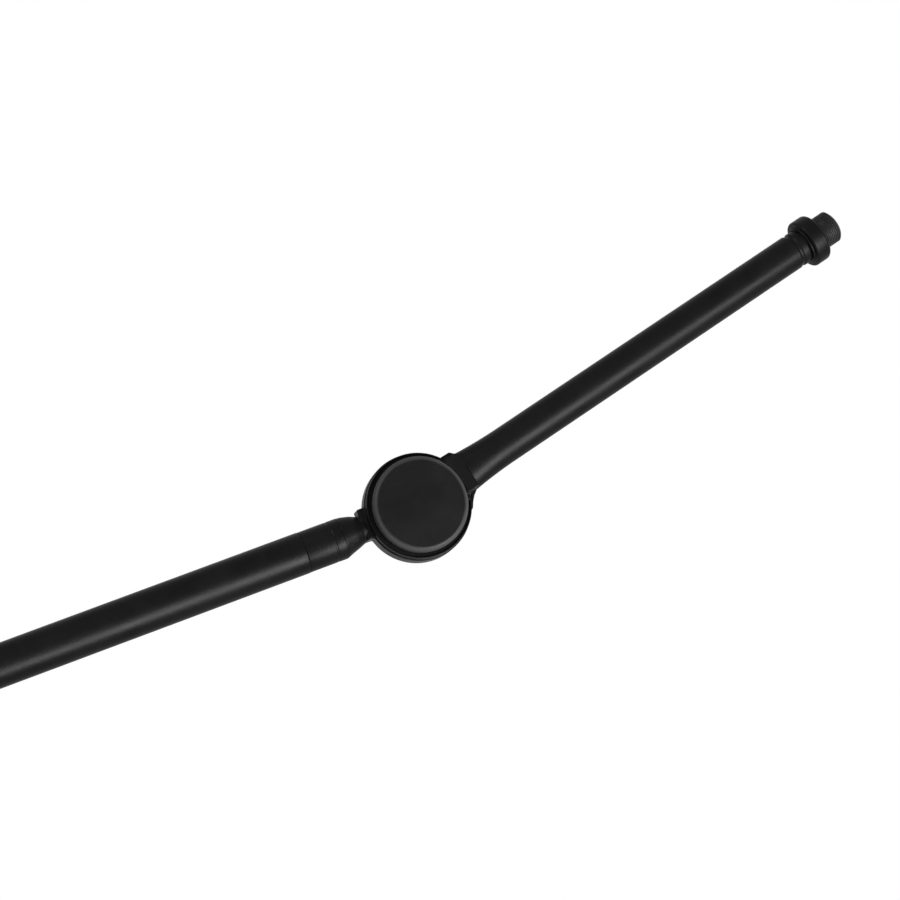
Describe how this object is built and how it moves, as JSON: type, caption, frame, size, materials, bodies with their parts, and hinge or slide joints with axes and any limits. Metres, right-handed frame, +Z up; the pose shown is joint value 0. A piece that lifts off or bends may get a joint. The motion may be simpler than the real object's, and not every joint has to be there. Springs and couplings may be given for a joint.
{
  "type": "boom microphone stand",
  "caption": "Floor stand for a microphone: weighted base, telescoping column, tilting and sliding counterweighted boom, and a pivoting threaded mini-boom at its far end.",
  "frame": {"origin": "on the floor under the column's axis, which the flat pad under the middle of the base is 3 mm above", "axes": "+Z up; the boom rises toward +X; the hub's cap faces -Y"},
  "size_m": [1.914, 0.3846, 2.1154],
  "materials": {
    "cast_base": "black textured enamel on cast iron",
    "cast_fittings": "black satin enamel on cast iron",
    "black_coat": "satin black powder coat",
    "cap_coat": "satin black powder coat, smoother on the flat face",
    "thread_steel": "black oxide on a cut thread",
    "plated_column": "polished black plating",
    "zinc_steel": "bright zinc plating",
    "brass": "turned brass",
    "black_plastic": "moulded black plastic, fine grain",
    "rubber": "matt black rubber",
    "nylon": "natural nylon"
  },
  "bodies": {
    "base": {"base_casting": "cast_base", "base_foot_1": "rubber", "base_foot_2": "rubber", "base_foot_3": "rubber", "base_foot_4": "rubber", "base_foot_5": "rubber", "base_foot_6": "rubber", "column_plug": "zinc_steel", "lower_column": "black_coat", "collar_bush": "nylon", "column_collar": "cast_fittings", "column_shoe": "brass"},
    "column_lock": {"column_knob": "black_plastic", "column_screw": "zinc_steel"},
    "upper_column": {"upper_column": "plated_column", "column_guide": "nylon", "column_spigot": "zinc_steel"},
    "head": {"head_casting": "cast_fittings", "friction_disc": "nylon", "handle_washer": "zinc_steel"},
    "swivel_lock": {"swivel_knob": "black_plastic", "swivel_screw": "zinc_steel"},
    "boom_holder": {"boom_holder": "cast_fittings", "boom_liner": "nylon", "pivot_bolt": "zinc_steel", "boom_shoe": "brass"},
    "tilt_handle": {"tilt_handle": "cast_fittings"},
    "boom_lock": {"boom_knob": "black_plastic", "boom_screw": "zinc_steel"},
    "boom": {"rear_boom_tube": "black_coat", "boom_joiner": "black_plastic", "front_boom_tube": "black_coat", "ferrule": "black_coat", "rear_end_cap": "black_plastic"},
    "counterweight": {"counterweight": "cast_fittings", "counterweight_shoe": "brass"},
    "counterweight_lock": {"counterweight_knob": "black_plastic", "counterweight_screw": "zinc_steel"},
    "neck": {"rear_housing": "black_coat", "friction_washer": "nylon", "tip_screw": "zinc_steel", "spring_washer": "zinc_steel", "tip_nut": "zinc_steel"},
    "mini_boom": {"front_housing": "black_coat", "hub_cap": "cap_coat", "mini_boom_tube": "black_coat", "thread_insert": "thread_steel"},
    "lock_ring": {"lock_ring": "black_coat"}
  },
  "joints": [
    {"name": "column_slide", "type": "slide", "parent": "base", "child": "upper_column", "axis": [0, 0, 1], "range_m": [-0.41, 0.25]},
    {"name": "column_knob_turn", "type": "hinge", "parent": "base", "child": "column_lock", "pos_m": [-0.04, 0, 0.921], "axis": [1, 0, 0], "range_deg": [-360, 0]},
    {"name": "head_swivel", "type": "hinge", "parent": "upper_column", "child": "head", "pos_m": [0, 0, 1.42], "axis": [0, 0, 1], "continuous": true},
    {"name": "swivel_knob_turn", "type": "hinge", "parent": "head", "child": "swivel_lock", "pos_m": [-0.03, 0, 1.422], "axis": [1, 0, 0], "range_deg": [-360, 0]},
    {"name": "boom_tilt", "type": "hinge", "parent": "head", "child": "boom_holder", "pos_m": [0, -0.04, 1.49], "axis": [0, -1, 0], "range_deg": [-52, 48]},
    {"name": "tilt_handle_turn", "type": "hinge", "parent": "head", "child": "tilt_handle", "pos_m": [0, 0.03, 1.49], "axis": [0, 1, 0], "range_deg": [-180, 0]},
    {"name": "boom_knob_turn", "type": "hinge", "parent": "boom_holder", "child": "boom_lock", "pos_m": [-0.01498, -0.04, 1.52709], "axis": [-0.3746, 0, 0.9272], "range_deg": [0, 360]},
    {"name": "boom_slide", "type": "slide", "parent": "boom_holder", "child": "boom", "axis": [0.9272, 0, 0.3746], "range_m": [-0.25, 0.25]},
    {"name": "counterweight_slide", "type": "slide", "parent": "boom", "child": "counterweight", "axis": [-0.9272, 0, -0.3746], "range_m": [-0.14, 0.045]},
    {"name": "counterweight_knob_turn", "type": "hinge", "parent": "counterweight", "child": "counterweight_lock", "pos_m": [-0.4133, -0.04, 1.2583], "axis": [0.3746, 0, -0.9272], "range_deg": [0, 360]},
    {"name": "neck_swivel", "type": "hinge", "parent": "boom", "child": "neck", "pos_m": [1.14044, -0.04, 1.95077], "axis": [0.9272, 0, 0.3746], "range_deg": [-180, 180]},
    {"name": "mini_boom_pivot", "type": "hinge", "parent": "neck", "child": "mini_boom", "pos_m": [1.18182, -0.04, 1.96846], "axis": [0, -1, 0], "range_deg": [-103, 77]},
    {"name": "lock_ring_turn", "type": "hinge", "parent": "mini_boom", "child": "lock_ring", "pos_m": [1.36826, -0.045, 2.10144], "axis": [0.8171, 0, 0.5764], "continuous": true}
  ]
}
